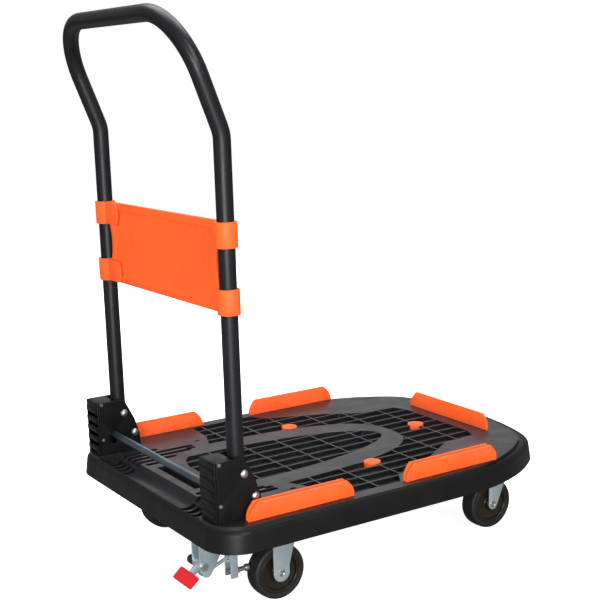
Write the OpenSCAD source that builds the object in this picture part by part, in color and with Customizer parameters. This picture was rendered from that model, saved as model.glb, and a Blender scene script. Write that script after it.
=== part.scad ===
// Folding platform cart: plastic deck on four casters, fold-down tube handle, foot brake.
// +X points to the rounded front, +Y to the left, +Z up. The origin is on the floor.

/* [Deck] */
// Overall length of the deck with its bumper
deck_l = 800; // [720:10:960]
// Overall width of the deck with its bumper
deck_w = 600; // [560:10:720]
// Thickness of the deck, from its underside pads to its top
deck_t = 40; // [36:1:52]
// Thickness of the top plate
plate_t = 11; // [10:0.5:14]
// Thickness of the deck's side wall
deck_wall = 5; // [3:0.5:8]
// Thickness of the ribs under the deck
under_rib = 3; // [2:0.5:5]
// Depth of the pockets in the top
pocket_d = 8; // [3:0.5:8]
// Spacing of the lengthwise ribs on the top
rib_pitch = 33.5; // [28:0.5:44]
// Width of the lengthwise ribs on the top
rib_w = 4; // [3:0.5:10]
// Spacing of the crosswise ribs on the top
cross_pitch = 72; // [60:1:90]
// Width of the crosswise ribs on the top
cross_w = 3.5; // [3:0.5:8]
// Depth of the trough along the handle end
trough_d = 15; // [8:1:18]

/* [Bumper] */
// Thickness of the bumper's wall
bumper_t = 10; // [7:0.5:12]
// How far the bumper hangs below the deck's underside
bumper_drop = 4; // [2:0.5:8]
// How far the bumper's top edge leans in from its foot
bumper_lean = 4; // [2:0.5:6]
// Radius of the rear corners
corner_r = 65; // [50:1:90]
// Radius of the long front curves
flank_r = 350; // [300:5:380]
// Radius of the front shoulders
shoulder_r = 105; // [85:5:120]
// Extra width of the bumper's top at the front
nose_extra = 18; // [8:1:26]

/* [Guides] */
// Height of the cargo guides above the deck
guide_h = 33; // [20:1:45]
// Thickness of the cargo guides
guide_t = 5; // [4:0.5:8]
// Length of each side guide
guide_l = 212; // [170:2:220]
// Length of the front guide
nose_guide_l = 250; // [200:5:260]
// Lean of the guides away from the load, in degrees
guide_lean = 8; // [0:1:12]
// Distance of the side guides in from the deck's edge
guide_inset = 29; // [26:1:34]
// Diameter of the round plugs in the deck
plug_d = 32; // [24:1:40]

/* [Casters] */
// Diameter of the wheels
wheel_d = 100; // [80:1:105]
// Width of the wheels
wheel_w = 34; // [28:1:38]
// Height of the deck's underside pads above the floor
caster_h = 135; // [130:1:160]
// Thickness of the casters' pressed steel
caster_steel = 2.6; // [2:0.1:3.5]
// Diameter of the axle bolts
axle_d = 8; // [6:0.5:10]
// How far the swivel axis stands ahead of the wheel's axle
swivel_lead = 28; // [22:1:32]
// Distance of the rear axle from the rear edge of the deck
rear_axle_in = 151; // [140:1:170]
// Distance of the front wheels' axle back from the middle of the shoulder's curve
front_axle_in = 10; // [5:1:30]
// Distance of the rear wheels' middle in from the deck's edge
rear_track_in = 88; // [80:1:100]
// Distance of the front wheels' middle in from the deck's edge
front_track_in = 124; // [118:1:140]

/* [Handle] */
// Outer diameter of the handle tube
tube_d = 28.6; // [25:0.1:32]
// Wall of the handle tube
tube_wall = 1.6; // [1.2:0.1:2.5]
// Height of the handle's top above the floor
handle_top = 1003; // [900:1:1100]
// Lean of the handle's upper part, in degrees: its sine and cosine are short decimals, so the bends
// meet the straight runs exactly
handle_lean = 20.6097; // [16.2602, 20.6097, 36.8699]
// Radius of the bend where the handle starts to lean
bend_r = 60; // [50:1:90]
// Straight length between the bend and the top corners
lean_len = 85; // [70:1:110]
// Radius of the handle's top corners
top_corner_r = 104; // [80:1:120]
// Distance of the handle's tubes in from the deck's edge
tube_in = 68; // [62:1:76]
// Distance of the handle's tubes from the rear edge of the deck
tube_back = 70; // [66:1:80]
// Height of the panel's middle above the floor
panel_z = 589; // [500:1:640]
// Height of the panel
panel_h = 150; // [120:2:180]
// Thickness of the panel
panel_t = 8; // [6:0.5:10]
// Height of the clamps that hold the panel
clamp_h = 42; // [32:1:50]
// Wall of the clamps
clamp_t = 4.5; // [3:0.5:6]

/* [Brackets] */
// Width of each handle bracket, over its side plates
bracket_w = 52; // [48:1:60]
// Height of each handle bracket
bracket_h = 105; // [96:1:120]
// Thickness of the bracket's steel
bracket_t = 2.6; // [2:0.2:3.2]
// Height of the handle's pivot above the deck
pivot_h = 77; // [70:1:84]
// Diameter of the pivot and stop rivets
rivet_d = 8; // [6:0.5:10]
// Diameter of the release bar
bar_d = 13; // [10:0.5:14]
// Height of the release bar above the deck
bar_h = 39; // [36:0.5:42]
// How far the release bar steps down
bar_travel = 12; // [8:0.5:14]

/* [Brake] */
// Height of the brake pedal's pivot above the floor
pedal_pivot_z = 83; // [80:1:86]
// Length of the pedal's pad across the cart
pad_l = 60; // [50:1:66]
// Width of the pedal's pad
pad_w = 24; // [20:1:26]
// How far the pedal's pad stands out behind the deck
pad_out = 20; // [16:1:24]
// Slope of the pedal's pad, in degrees
pad_slope = 40; // [30:1:45]
// Gap between the brake bolt and the tread when the brake is off
brake_gap = 6.2; // [6:0.1:9]

/* [Fits] */
// Radial clearance of parts that turn or slide on each other
run_fit = 0.05; // [0.02:0.01:0.08]
// Clearance between faces of parts that move past each other
face_gap = 0.4; // [0.3:0.1:0.8]

/* [Hidden] */
$fn = 64;
eps = 0.5;

// Colours
black_plastic = [0.09, 0.09, 0.10];
black_paint = [0.06, 0.06, 0.065];
orange = [0.93, 0.33, 0.13];
zinc = [0.70, 0.75, 0.78];
bright_steel = [0.82, 0.82, 0.83];
rubber_black = [0.10, 0.10, 0.10];
hub_black = [0.16, 0.155, 0.15];
red = [0.80, 0.12, 0.15];

// Heights of the deck and bumper
under_z = caster_h;
top_z = under_z + deck_t;
skirt_z = under_z - bumper_drop;
lip_z = top_z - 15;
bumper_top_z = top_z - 6;

// Front curve: the angle where each arc starts, measured from +X
shoulder_from = 18;
flank_from = 50;
shoulder_cy = deck_w / 2 - flank_r + (flank_r - shoulder_r) * sin(flank_from);
nose_r = shoulder_r + shoulder_cy / sin(shoulder_from);
flank_x = deck_l / 2 - nose_r + (nose_r - shoulder_r) * cos(shoulder_from)
    - (flank_r - shoulder_r) * cos(flank_from);
rear_x = -deck_l / 2;

// Rounded to 0.01 mm, so that lengths of tube that meet end to end agree
function hundredths(v) = round(v * 100) / 100;

// Handle: middle of the tubes, bend and top bar
tube_x = rear_x + tube_back;
tube_y = deck_w / 2 - tube_in;
bar_rise = bend_r * sin(handle_lean) + (lean_len + top_corner_r) * cos(handle_lean);
bend_z = hundredths(handle_top - tube_d / 2 - bar_rise);
top_bar_x = tube_x - bend_r * (1 - cos(handle_lean)) - (lean_len + top_corner_r) * sin(handle_lean);
top_bar_reach = -top_bar_x + tube_d / 2;

// Handle pivot, stop and release bar
pivot_x = tube_x + 1;
pivot_z = top_z + pivot_h;
stop_x = tube_x + 21;
stop_z = top_z + 35;
bar_x = tube_x - 23;
bar_z = top_z + bar_h;
bar_reach = norm([pivot_x - bar_x, pivot_z - bar_z]) - bar_d / 2;
foot_drop = sqrt(pow(bar_reach - 0.7, 2) - pow(tube_d / 2 + pivot_x - tube_x, 2));
foot_z = hundredths(pivot_z - foot_drop);
bracket_back = tube_x - 51;
bracket_top = top_z + bracket_h;
spring_r = 2.6;
spring_wire = 0.9;
spring_y = tube_y - bracket_w / 2 + bracket_t + spring_r + spring_wire / 2 + 1.6;
spring_peg_z = bar_z + 52;

// Casters
axle_z = wheel_d / 2;
rear_axle_x = rear_x + rear_axle_in;
front_axle_x = round(flank_x + (flank_r - shoulder_r) * cos(flank_from)) - front_axle_in;
rear_wheel_y = deck_w / 2 - rear_track_in;
front_wheel_y = deck_w / 2 - front_track_in;
swivel_x = front_axle_x + swivel_lead;
leg_gap = wheel_w + 4;
sleeve_r = axle_d / 2 + 2;
hub_r = wheel_d / 2 - 12;
top_plate_z = under_z - 3;
fork_top_z = top_plate_z - 13;
fork_clear = fork_top_z - axle_z;
rear_plate = [105, 85];
rear_bolts = [42, 33];
swivel_plate_size = [78, 74];
swivel_bolts = [31, 29];
king_r = 5;

// Brake, all on the right side
brake_y = -rear_wheel_y + 27;
cheek_half = 14;
pedal_pivot_x = rear_x + 19;
cheek_back = 8;
pad_t = 6;
pad_reach = deck_l / 2 + pad_out;
pad_x = pad_w / 2 * cos(pad_slope) + pad_t / 2 * sin(pad_slope) - pad_reach;
pad_z = pedal_pivot_z - 17;
link_from = [pedal_pivot_x + 3, pedal_pivot_z - 15];
arm_pivot = [rear_axle_x - 87, under_z - 15];
link_to = [arm_pivot[0], arm_pivot[1] - 35];
link_y = brake_y - 8;
link_r = 3;
bolt_z = arm_pivot[1] - 52;
arm_half = 11;
arm_web_x = arm_pivot[0] + 4.5;
bolt_foot_r = 6.5;
tread_x = rear_axle_x - sqrt(pow(wheel_d / 2, 2) - pow(bolt_z - bolt_foot_r - axle_z, 2));
bolt_tip_x = tread_x - brake_gap;

// The whole cart is shifted so that the origin is under the middle of its overall box
back_reach = max(pad_reach, top_bar_reach);
frame_x = (back_reach - deck_l / 2) / 2;

module place() {
    translate([frame_x, 0, 0]) children();
}

// side 1 is the left, -1 the right
module on_side(side) {
    if (side > 0) children();
    else mirror([0, 1, 0]) children();
}

module both_sides() {
    children();
    mirror([0, 1, 0]) children();
}

// Cylinder along +Y from y0 to y1, at x, z
module rod_y(x, z, y0, y1, r) {
    translate([x, y1, z]) rotate([90, 0, 0]) cylinder(r = r, h = y1 - y0);
}

// Cylinder along +X from x0 to x1, at y, z
module rod_x(y, z, x0, x1, r) {
    translate([x0, y, z]) rotate([0, 90, 0]) cylinder(r = r, h = x1 - x0);
}

// Extrudes an X-Z drawing along +Y from y0 to y1
module slab_y(y0, y1) {
    translate([0, y1, 0]) rotate([90, 0, 0]) linear_extrude(y1 - y0) children();
}

module rounded_rect(w, h, r) {
    square([w - 2 * r, h], center = true);
    square([w, h - 2 * r], center = true);
    for (x = [-1, 1], y = [-1, 1])
        translate([x * (w / 2 - r), y * (h / 2 - r)]) circle(r);
}

// Slot with round ends, lengthwise along X
module stadium(l, w) {
    square([l - w, w], center = true);
    for (x = [-1, 1]) translate([x * (l - w) / 2, 0]) circle(w / 2);
}

function arc_points(cx, cy, r, a0, a1, n, skip = 0) = [
    for (i = [skip:n]) let (a = a0 + (a1 - a0) * i / n) [cx + r * cos(a), cy + r * sin(a)]
];

// Half of the deck's outline, from the tip of the nose round to the rear edge.
// d is the inset; nose moves the front curves back.
function half_outline(d, nose) = let (
    sx = flank_x - nose + (flank_r - shoulder_r) * cos(flank_from),
    nx = sx - (nose_r - shoulder_r) * cos(shoulder_from)
) concat(
    arc_points(nx, 0, nose_r - d, 0, shoulder_from, 5),
    arc_points(sx, shoulder_cy, shoulder_r - d, shoulder_from, flank_from, 6, 1),
    arc_points(flank_x - nose, deck_w / 2 - flank_r, flank_r - d, flank_from, 90, 8, 1),
    arc_points(rear_x + corner_r, deck_w / 2 - corner_r, corner_r - d, 90, 180, 10)
);

function outline_points(d, nose) = let (h = half_outline(d, nose), n = len(h)) concat(
    h, [for (i = [n - 1:-1:1]) [h[i][0], -h[i][1]]]
);

module outline(d = 0, nose = 0) {
    polygon(outline_points(d, nose));
}

/* Deck */

// Rounded field inside the horseshoe band: long to the front, short to the handle
field_x = rear_x + 160;
field_len = 372;
field_back = 40;
field_half = 100;
function field_points() = [
    for (i = [0:47]) let (a = -90 + 360 * i / 48)
        [field_x + (i < 24 ? field_len : field_back) * cos(a), field_half * sin(a)]
];

// Outer edge of the horseshoe band: a superellipse
band_len = 402;
band_half = 147;
band_power = 2.7;
function band_half_at(x) = band_half * pow(1 - pow((x - field_x) / band_len, band_power), 1 / band_power);
function band_points() = concat(
    [for (i = [0:20]) let (x = field_x + band_len * sin(90 * i / 20)) [x, band_half_at(x)]],
    [for (i = [19:-1:0]) let (x = field_x + band_len * sin(90 * i / 20)) [x, -band_half_at(x)]]
);

module outer_fields() {
    edge = deck_w / 2 - 36;
    difference() {
        both_sides() polygon([
            [field_x + 60, 0], [field_x + 62, band_half], [field_x + 80, 190], [field_x + 88, edge],
            [field_x + 225, edge], [field_x + 245, edge - 32], [field_x + 360, 182],
            [field_x + 435, 134], [field_x + 508, 129], [field_x + 519, 100], [field_x + 519, 0]
        ]);
        polygon(band_points());
    }
}

module pocket_grid() {
    rows = floor(deck_w / 2 / rib_pitch);
    cell = [cross_pitch - cross_w, rib_pitch - rib_w];
    for (i = [0:9], j = [-rows:rows - 1])
        translate([
            field_x + 106 + (i - 2) * cross_pitch + cross_w / 2,
            j * rib_pitch + rib_w / 2
        ]) square(cell);
}

module top_pockets() {
    translate([0, 0, top_z - pocket_d]) linear_extrude(pocket_d + eps) intersection() {
        pocket_grid();
        union() {
            polygon(field_points());
            outer_fields();
        }
    }
}

// Openings and grooves near the handle end, and the trough with its ribs
module handle_end_cuts() {
    translate([0, 0, top_z - plate_t - eps]) linear_extrude(plate_t + 2 * eps)
        translate([rear_x + 81, 0]) square([18, 150], center = true);
    translate([0, 0, top_z - pocket_d]) linear_extrude(pocket_d + eps) both_sides() {
        translate([rear_x + 78, 101]) stadium(34, 13);
        translate([field_x + 22, 147]) stadium(20, 11);
        translate([field_x + 52, 179]) stadium(12, 7);
    }
    trough_r = 27;
    channel_w = 13;
    rod_y(rear_x + 32, top_z - trough_d + trough_r, -(tube_y - bracket_w / 2) + 3,
        tube_y - bracket_w / 2 - 3, trough_r);
    for (i = [0:3]) both_sides() {
        y = 121 + 19.5 * i;
        x1 = rear_x + [130, 172, 186, 118][i];
        translate([rear_x + 18, y - channel_w / 2, top_z - trough_d - 4])
            cube([30, channel_w, trough_d + 5]);
        translate([rear_x + 30, y - channel_w / 2, top_z - pocket_d])
            cube([x1 - rear_x - 30, channel_w, pocket_d + 1]);
        translate([x1, y, top_z - pocket_d]) cylinder(d = channel_w, h = pocket_d + 1);
    }
}

module pad_areas() {
    for (s = [-1, 1]) {
        translate([rear_axle_x, s * rear_wheel_y]) square([rear_plate[0] + 8, rear_plate[1] + 8], center = true);
        translate([swivel_x, s * front_wheel_y])
            square([swivel_plate_size[0] + 8, swivel_plate_size[1] + 8], center = true);
    }
    translate([rear_x, -deck_w / 2]) square([tube_back + 26, deck_w]);
}

module underside_cells() {
    pitch = 72;
    translate([0, 0, under_z - eps]) linear_extrude(deck_t - plate_t + eps) difference() {
        intersection() {
            outline(bumper_t + deck_wall, nose_extra);
            for (i = [-7:6], j = [-6:5])
                translate([i * pitch + under_rib / 2, j * pitch + under_rib / 2])
                    square(pitch - under_rib);
        }
        pad_areas();
    }
}

module bolt_holes(x, y, half) {
    for (i = [-1, 1], j = [-1, 1])
        translate([x + i * half[0], y + j * half[1], under_z - eps]) cylinder(r = 4, h = 14 + eps);
}

module deck() {
    color(black_plastic) place() difference() {
        union() {
            translate([0, 0, under_z]) linear_extrude(lip_z - under_z) outline(bumper_t);
            translate([0, 0, lip_z]) linear_extrude(top_z - lip_z) outline(bumper_t, nose_extra);
        }
        underside_cells();
        top_pockets();
        handle_end_cuts();
        for (p = plug_points()) translate([p[0], p[1], top_z - pocket_d - 1]) cylinder(d = plug_d, h = pocket_d + 2);
        both_sides() {
            bolt_holes(rear_axle_x, rear_wheel_y, rear_bolts);
            bolt_holes(swivel_x, front_wheel_y, swivel_bolts);
            for (x = bracket_bolt_xs()) translate([x, tube_y, top_z - 14]) cylinder(r = 3, h = 15);
        }
        for (p = brake_bolt_points()) translate([p[0], p[1], under_z - eps]) cylinder(r = 3, h = 10 + eps);
    }
}

module bumper() {
    color(black_plastic) place() difference() {
        hull() {
            translate([0, 0, skirt_z]) linear_extrude(5) outline();
            translate([0, 0, bumper_top_z - 8]) linear_extrude(1) outline(bumper_lean);
            translate([0, 0, bumper_top_z - 3]) linear_extrude(0.5) outline(bumper_lean + 1.5);
            translate([0, 0, bumper_top_z - 0.5]) linear_extrude(0.5) outline(bumper_lean + 4);
        }
        translate([0, 0, skirt_z - eps]) linear_extrude(lip_z - skirt_z + eps) outline(bumper_t);
        translate([0, 0, lip_z - eps]) linear_extrude(bumper_top_z - lip_z + 2 * eps) outline(bumper_t, nose_extra);
    }
}

function plug_points() = [[field_x + 250, 145], [field_x + 250, -145], [field_x + 466, 0]];

module deck_plugs() {
    color(orange) place() for (p = plug_points())
        translate([p[0], p[1], top_z - pocket_d - 1]) {
            cylinder(d = plug_d, h = pocket_d + 2);
            translate([0, 0, pocket_d + 2]) cylinder(d1 = plug_d, d2 = plug_d - 5, h = 1.2);
        }
}

/* Cargo guides */

guide_cut = 17;

// Upright face of a guide, its upper corners cut back in three short slopes
module guide_face(l) {
    half = [
        [l / 2, 0], [l / 2 - 1, guide_h - 22], [l / 2 - 5, guide_h - 13],
        [l / 2 - guide_cut + 3, guide_h - 2.5], [l / 2 - guide_cut, guide_h]
    ];
    polygon(concat(half, [for (i = [len(half) - 1:-1:0]) [-half[i][0], half[i][1]]]));
}

// A guide along X, standing on the deck, its inner face at y = 0 and leaning to +Y
module guide(l) {
    rotate([-guide_lean, 0, 0]) translate([0, guide_t, 0]) rotate([90, 0, 0])
        linear_extrude(guide_t) guide_face(l);
}

module cargo_guide(l) {
    intersection() {
        translate([0, 0, -1]) guide(l);
        translate([-l, -50, 0]) cube([2 * l, 100, guide_h]);
    }
}

module side_guide(x, side) {
    color(orange) place() on_side(side)
        translate([x, deck_w / 2 - guide_inset, top_z]) cargo_guide(guide_l);
}

rear_guide_x = rear_x + 171;
front_guide_x = rear_x + 495;
module side_guide_rear_left() { side_guide(rear_guide_x, 1); }
module side_guide_rear_right() { side_guide(rear_guide_x, -1); }
module side_guide_front_left() { side_guide(front_guide_x, 1); }
module side_guide_front_right() { side_guide(front_guide_x, -1); }

module nose_guide() {
    color(orange) place() translate([deck_l / 2 - 92, 0, top_z]) rotate([0, 0, -90]) cargo_guide(nose_guide_l);
}

/* Handle brackets */

function bracket_bolt_xs() = [tube_x - 34, tube_x + 6];
function bracket_side() = [
    [bracket_back, top_z], [bracket_back, bracket_top], [tube_x - 4, bracket_top],
    [tube_x + 5, bracket_top - 7], [tube_x + 22, top_z + 63], [tube_x + 31, top_z + 33], [tube_x + 33, top_z]
];

// The left bracket: a U of steel, open to the front, with a slotted inner plate
module handle_bracket() {
    y0 = tube_y - bracket_w / 2;
    y1 = tube_y + bracket_w / 2;
    difference() {
        union() {
            slab_y(y0, y0 + bracket_t) polygon(bracket_side());
            slab_y(y1 - bracket_t, y1) polygon(bracket_side());
            translate([bracket_back, y0, top_z]) cube([bracket_t, bracket_w, bracket_h]);
            translate([bracket_back, y0, bracket_top - bracket_t]) cube([33, bracket_w, bracket_t]);
            translate([bracket_back, y0, top_z]) cube([tube_x + 26 - bracket_back, bracket_w, bracket_t]);
            rod_y(bar_x, spring_peg_z, y0 + bracket_t - 0.5, y0 + bracket_t + 7, 2);
        }
        rod_y(pivot_x, pivot_z, y0 - 1, y1 + 1, rivet_d / 2);
        rod_y(stop_x, stop_z, y0 - 1, y1 + 1, rivet_d / 2);
        for (x = bracket_bolt_xs()) translate([x, tube_y, top_z - 1]) cylinder(r = 3, h = bracket_t + 2);
        bar_slot(y0 - 1, y0 + bracket_t + 1);
        for (z = cover_screw_zs()) rod_y(bracket_back + 5, z, y0 - 1, y1 + 1, 1.5);
    }
}

// Upright slot for the release bar
module bar_slot(y0, y1) {
    r = bar_d / 2 + face_gap;
    slab_y(y0, y1) {
        for (z = [bar_z, bar_z - bar_travel]) translate([bar_x, z]) circle(r);
        translate([bar_x - r, bar_z - bar_travel]) square([2 * r, bar_travel]);
    }
}

module handle_bracket_left() { color(black_paint) place() handle_bracket(); }
module handle_bracket_right() { color(black_paint) place() on_side(-1) handle_bracket(); }

// Ribbed plastic cover over the bracket's back
module bracket_cover() {
    y0 = tube_y - bracket_w / 2;
    translate([bracket_back - 4, y0, top_z]) cube([4, bracket_w, bracket_h]);
    for (i = [0:4])
        translate([bracket_back - 5.6, y0 + 3, top_z + 8 + i * (bracket_h - 18) / 4.6]) cube([2, bracket_w - 6, 9]);
}

module bracket_cover_left() { color(black_plastic) place() bracket_cover(); }
module bracket_cover_right() { color(black_plastic) place() on_side(-1) bracket_cover(); }

function cover_screw_zs() = [top_z + 31, bracket_top - 4];

module bracket_cover_screws() {
    y0 = tube_y - bracket_w / 2;
    y1 = tube_y + bracket_w / 2;
    color(bright_steel) place() both_sides() for (z = cover_screw_zs()) {
        rod_y(bracket_back + 5, z, y1 - bracket_t, y1, 1.5);
        rod_y(bracket_back + 5, z, y1, y1 + 1.5, 3);
        rod_y(bracket_back + 5, z, y0, y0 + bracket_t, 1.5);
        rod_y(bracket_back + 5, z, y0 - 1.5, y0, 3);
    }
}

module bracket_bolts() {
    color(zinc) place() both_sides() for (x = bracket_bolt_xs()) translate([x, tube_y, 0]) {
        translate([0, 0, top_z - 12]) cylinder(r = 3, h = 12 + bracket_t);
        translate([0, 0, top_z + bracket_t]) cylinder(r = 5, h = 4, $fn = 6);
    }
}

// Rivet along Y with a domed head outside each bracket plate
module domed_rivet(x, z) {
    y0 = tube_y - bracket_w / 2;
    y1 = tube_y + bracket_w / 2;
    rod_y(x, z, y0, y1, rivet_d / 2);
    translate([x, y1, z]) rotate([-90, 0, 0]) rivet_head();
    translate([x, y0, z]) rotate([90, 0, 0]) rivet_head();
}

module rivet_head() {
    head_r = 7.5;
    head_h = 4;
    ball_r = (head_r * head_r + head_h * head_h) / (2 * head_h);
    rotate_extrude() intersection() {
        translate([0, head_h - ball_r]) circle(ball_r);
        square([head_r, head_h]);
    }
}

module pivot_rivets() { color(bright_steel) place() both_sides() domed_rivet(pivot_x, pivot_z); }
module stop_rivets() { color(bright_steel) place() both_sides() domed_rivet(stop_x, stop_z); }

module pivot_spacers() {
    inner = tube_y - bracket_w / 2 + bracket_t;
    outer = tube_y + bracket_w / 2 - bracket_t;
    gap = tube_d / 2 + face_gap;
    color(zinc) place() both_sides() for (y = [[inner, tube_y - gap], [tube_y + gap, outer]])
        difference() {
            rod_y(pivot_x, pivot_z, y[0], y[1], 9);
            rod_y(pivot_x, pivot_z, y[0] - 1, y[1] + 1, rivet_d / 2);
        }
}

module release_bar() {
    half = tube_y + bracket_w / 2 - bracket_t - 1.5;
    color(zinc) place() rod_y(bar_x, bar_z, -half, half, bar_d / 2);
}

// A coil spring: rings of points along a helix, joined by triangles into a closed wire
module coil(r, wire, pitch, turns) {
    sides = 5;
    per_turn = 8;
    steps = per_turn * turns;
    points = [
        for (i = [0:steps], k = [0:sides - 1]) let (a = i * 360 / per_turn, b = k * 360 / sides)
            [(r + wire * cos(b)) * cos(a), (r + wire * cos(b)) * sin(a), pitch * a / 360 + wire * sin(b)]
    ];
    faces = concat(
        [[for (k = [0:sides - 1]) k]],
        [for (i = [0:steps - 1], k = [0:sides - 1], half = [0, 1]) let (
            n = (k + 1) % sides, near = i * sides, far = near + sides
        ) half == 0 ? [near + k, far + k, far + n] : [near + k, far + n, near + n]],
        [[for (k = [sides - 1:-1:0]) steps * sides + k]]
    );
    polyhedron(points, faces);
}

// Extension springs between the release bar and a peg in each bracket
module release_springs() {
    turns = 9;
    from = bar_z + bar_d / 2 + 0.6;
    pitch = (spring_peg_z - 3 - from) / turns;
    color(bright_steel) place() both_sides() translate([bar_x, spring_y, from])
        coil(spring_r, spring_wire / 2, pitch, turns);
}

/* Handle */

// One side of the bent handle as round bar of radius r, its foot lengthened by extra
module handle_side(r, extra) {
    translate([tube_x, tube_y, foot_z - extra]) cylinder(r = r, h = bend_z - foot_z + extra);
    translate([tube_x - bend_r, tube_y, bend_z]) {
        rotate([90, 0, 0]) rotate_extrude(angle = handle_lean) translate([bend_r, 0]) circle(r);
        rotate([0, -handle_lean, 0]) translate([bend_r, 0, 0]) {
            cylinder(r = r, h = lean_len);
            translate([0, -top_corner_r, lean_len]) {
                rotate([0, -90, 0]) rotate_extrude(angle = 90) translate([top_corner_r, 0]) circle(r);
                translate([0, 0, top_corner_r]) rotate([90, 0, 0]) cylinder(r = r, h = tube_y - top_corner_r);
            }
        }
    }
}

module handle_run(r, extra = 0) {
    both_sides() handle_side(r, extra);
}

module handle_frame() {
    color(black_paint) place() difference() {
        handle_run(tube_d / 2);
        handle_run(tube_d / 2 - tube_wall, 1);
        both_sides() rod_y(pivot_x, pivot_z, tube_y - tube_d, tube_y + tube_d, rivet_d / 2 + run_fit);
    }
}

panel_half = tube_y - 24;
clamp_out = panel_h / 2 - clamp_h / 2;
tab_t = 4;
tab_in = 70;

module panel_face() {
    sag = 6;
    chord = panel_h / 2 - clamp_h - 1;
    side_r = (chord * chord + sag * sag) / (2 * sag);
    difference() {
        square([2 * panel_half, panel_h], center = true);
        for (s = [-1, 1]) translate([s * (panel_half - sag + side_r), 0]) circle(side_r);
    }
}

module handle_panel() {
    color(orange) place() translate([tube_x, 0, panel_z]) rotate([90, 0, 90]) difference() {
        translate([0, 0, -panel_t / 2]) linear_extrude(panel_t) panel_face();
        for (s = [-1, 1]) translate([0, 0, s * panel_t / 2 - 1]) linear_extrude(2) difference() {
            rounded_rect(2 * (panel_half - 44), panel_h - 24, 8);
            rounded_rect(2 * (panel_half - 46), panel_h - 28, 6);
        }
        for (z = [-1, 1], s = [-1, 1]) translate([s * (tube_y - tab_in + 18), z * clamp_out, -panel_t])
            cylinder(r = 2, h = 2 * panel_t);
    }
}

// A clamp ring round the tube with a tab that lies on one face of the panel.
// face is -1 for the panel's rear face, 1 for its front face.
module clamp(face) {
    difference() {
        union() {
            cylinder(r = tube_d / 2 + clamp_t, h = clamp_h, center = true);
            translate([face * (panel_t / 2 + tab_t / 2), 0, 0]) rotate([90, 0, 90])
                linear_extrude(tab_t, center = true)
                    translate([-(tab_in + 6) / 2, 0]) rounded_rect(tab_in - 6, clamp_h - 1, 9);
        }
        cylinder(d = tube_d, h = clamp_h + 2, center = true);
        translate([0, -tab_in + 18, 0]) rotate([0, 90, 0]) cylinder(r = 2, h = 60, center = true);
    }
}

module clamp_at(side, level) {
    color(orange) place() translate([tube_x, side * tube_y, panel_z + level * clamp_out])
        on_side(side) clamp(-side);
}

module clamp_upper_left() { clamp_at(1, 1); }
module clamp_upper_right() { clamp_at(-1, 1); }
module clamp_lower_left() { clamp_at(1, -1); }
module clamp_lower_right() { clamp_at(-1, -1); }

module clamp_screws() {
    color(bright_steel) place() for (s = [-1, 1], z = [-1, 1])
        translate([tube_x, s * (tube_y - tab_in + 18), panel_z + z * clamp_out]) rotate([0, -s * 90, 0]) {
            translate([0, 0, -panel_t / 2]) cylinder(r = 2, h = panel_t + tab_t);
            translate([0, 0, panel_t / 2 + tab_t]) cylinder(r1 = 4.2, r2 = 3, h = 2.2);
        }
}

/* Casters */

// Side plate of the rear fork in X-Z, about the axle
module rear_leg() {
    up = top_plate_z - axle_z;
    circle(16);
    translate([-16, 0]) square([32, up]);
    polygon([[15, 8], [15, up], [36, up]]);
}

// Fixed fork, left side, centred on the wheel
module rear_fork() {
    translate([rear_axle_x, rear_wheel_y, 0]) difference() {
        union() {
            translate([-rear_plate[0] / 2, -rear_plate[1] / 2, top_plate_z]) cube([rear_plate[0], rear_plate[1], 3]);
            for (s = [0, 1]) mirror([0, s, 0]) translate([0, 0, axle_z])
                slab_y(leg_gap / 2, leg_gap / 2 + caster_steel) rear_leg();
        }
        rod_y(0, axle_z, -leg_gap, leg_gap, axle_d / 2);
        for (i = [-1, 1], j = [-1, 1])
            translate([i * rear_bolts[0], j * rear_bolts[1], top_plate_z - 1]) cylinder(r = 4, h = 5);
    }
}

module rear_fork_left() { color(zinc) place() rear_fork(); }
module rear_fork_right() { color(zinc) place() on_side(-1) rear_fork(); }

// Axle bolt with its head outboard and its nut inboard
module axle_bolt() {
    out = leg_gap / 2 + caster_steel;
    rod_y(0, axle_z, -out, out, axle_d / 2);
    translate([0, out, axle_z]) rotate([-90, 0, 0]) cylinder(r1 = 6.5, r2 = 5, h = 2.5);
    translate([0, -out, axle_z]) rotate([90, 0, 0]) cylinder(r = 7, h = 5, $fn = 6);
}

module axle_sleeve() {
    difference() {
        rod_y(0, axle_z, -leg_gap / 2, leg_gap / 2, sleeve_r);
        rod_y(0, axle_z, -leg_gap, leg_gap, axle_d / 2);
    }
}

module rear_axles() {
    color(bright_steel) place() both_sides() translate([rear_axle_x, rear_wheel_y, 0]) axle_bolt();
}

module rear_axle_sleeves() {
    color(bright_steel) place() both_sides() translate([rear_axle_x, rear_wheel_y, 0]) axle_sleeve();
}

// Half sections of the hub and the tyre: X is the radius, Y is across the wheel
module hub_section() {
    half = wheel_w / 2;
    bore = sleeve_r + run_fit;
    difference() {
        translate([bore, -half]) square([hub_r - bore, 2 * half]);
        for (s = [-1, 1]) translate([17, s > 0 ? half - 7 : -half]) square([hub_r - 22, 7]);
    }
    translate([bore, -half - 1.5]) square([12 - bore, 2 * half + 3]);
}

module tyre_section() {
    half = wheel_w / 2;
    r = wheel_d / 2;
    difference() {
        translate([hub_r, -half]) square([r - hub_r, 2 * half]);
        for (s = [-1, 1]) {
            polygon([[r - 5, s * (half + 1)], [r + 1, s * (half + 1)], [r + 1, s * (half - 3)], [r, s * (half - 3)],
                [r - 1.2, s * (half - 1.6)], [r - 3, s * half]]);
            translate([hub_r + 1.5, s > 0 ? half - 1.5 : -half - eps]) square([2, 1.5 + eps]);
        }
    }
}

module on_axle(x, y) {
    translate([x, y, axle_z]) rotate([-90, 0, 0]) rotate_extrude() children();
}

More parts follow.
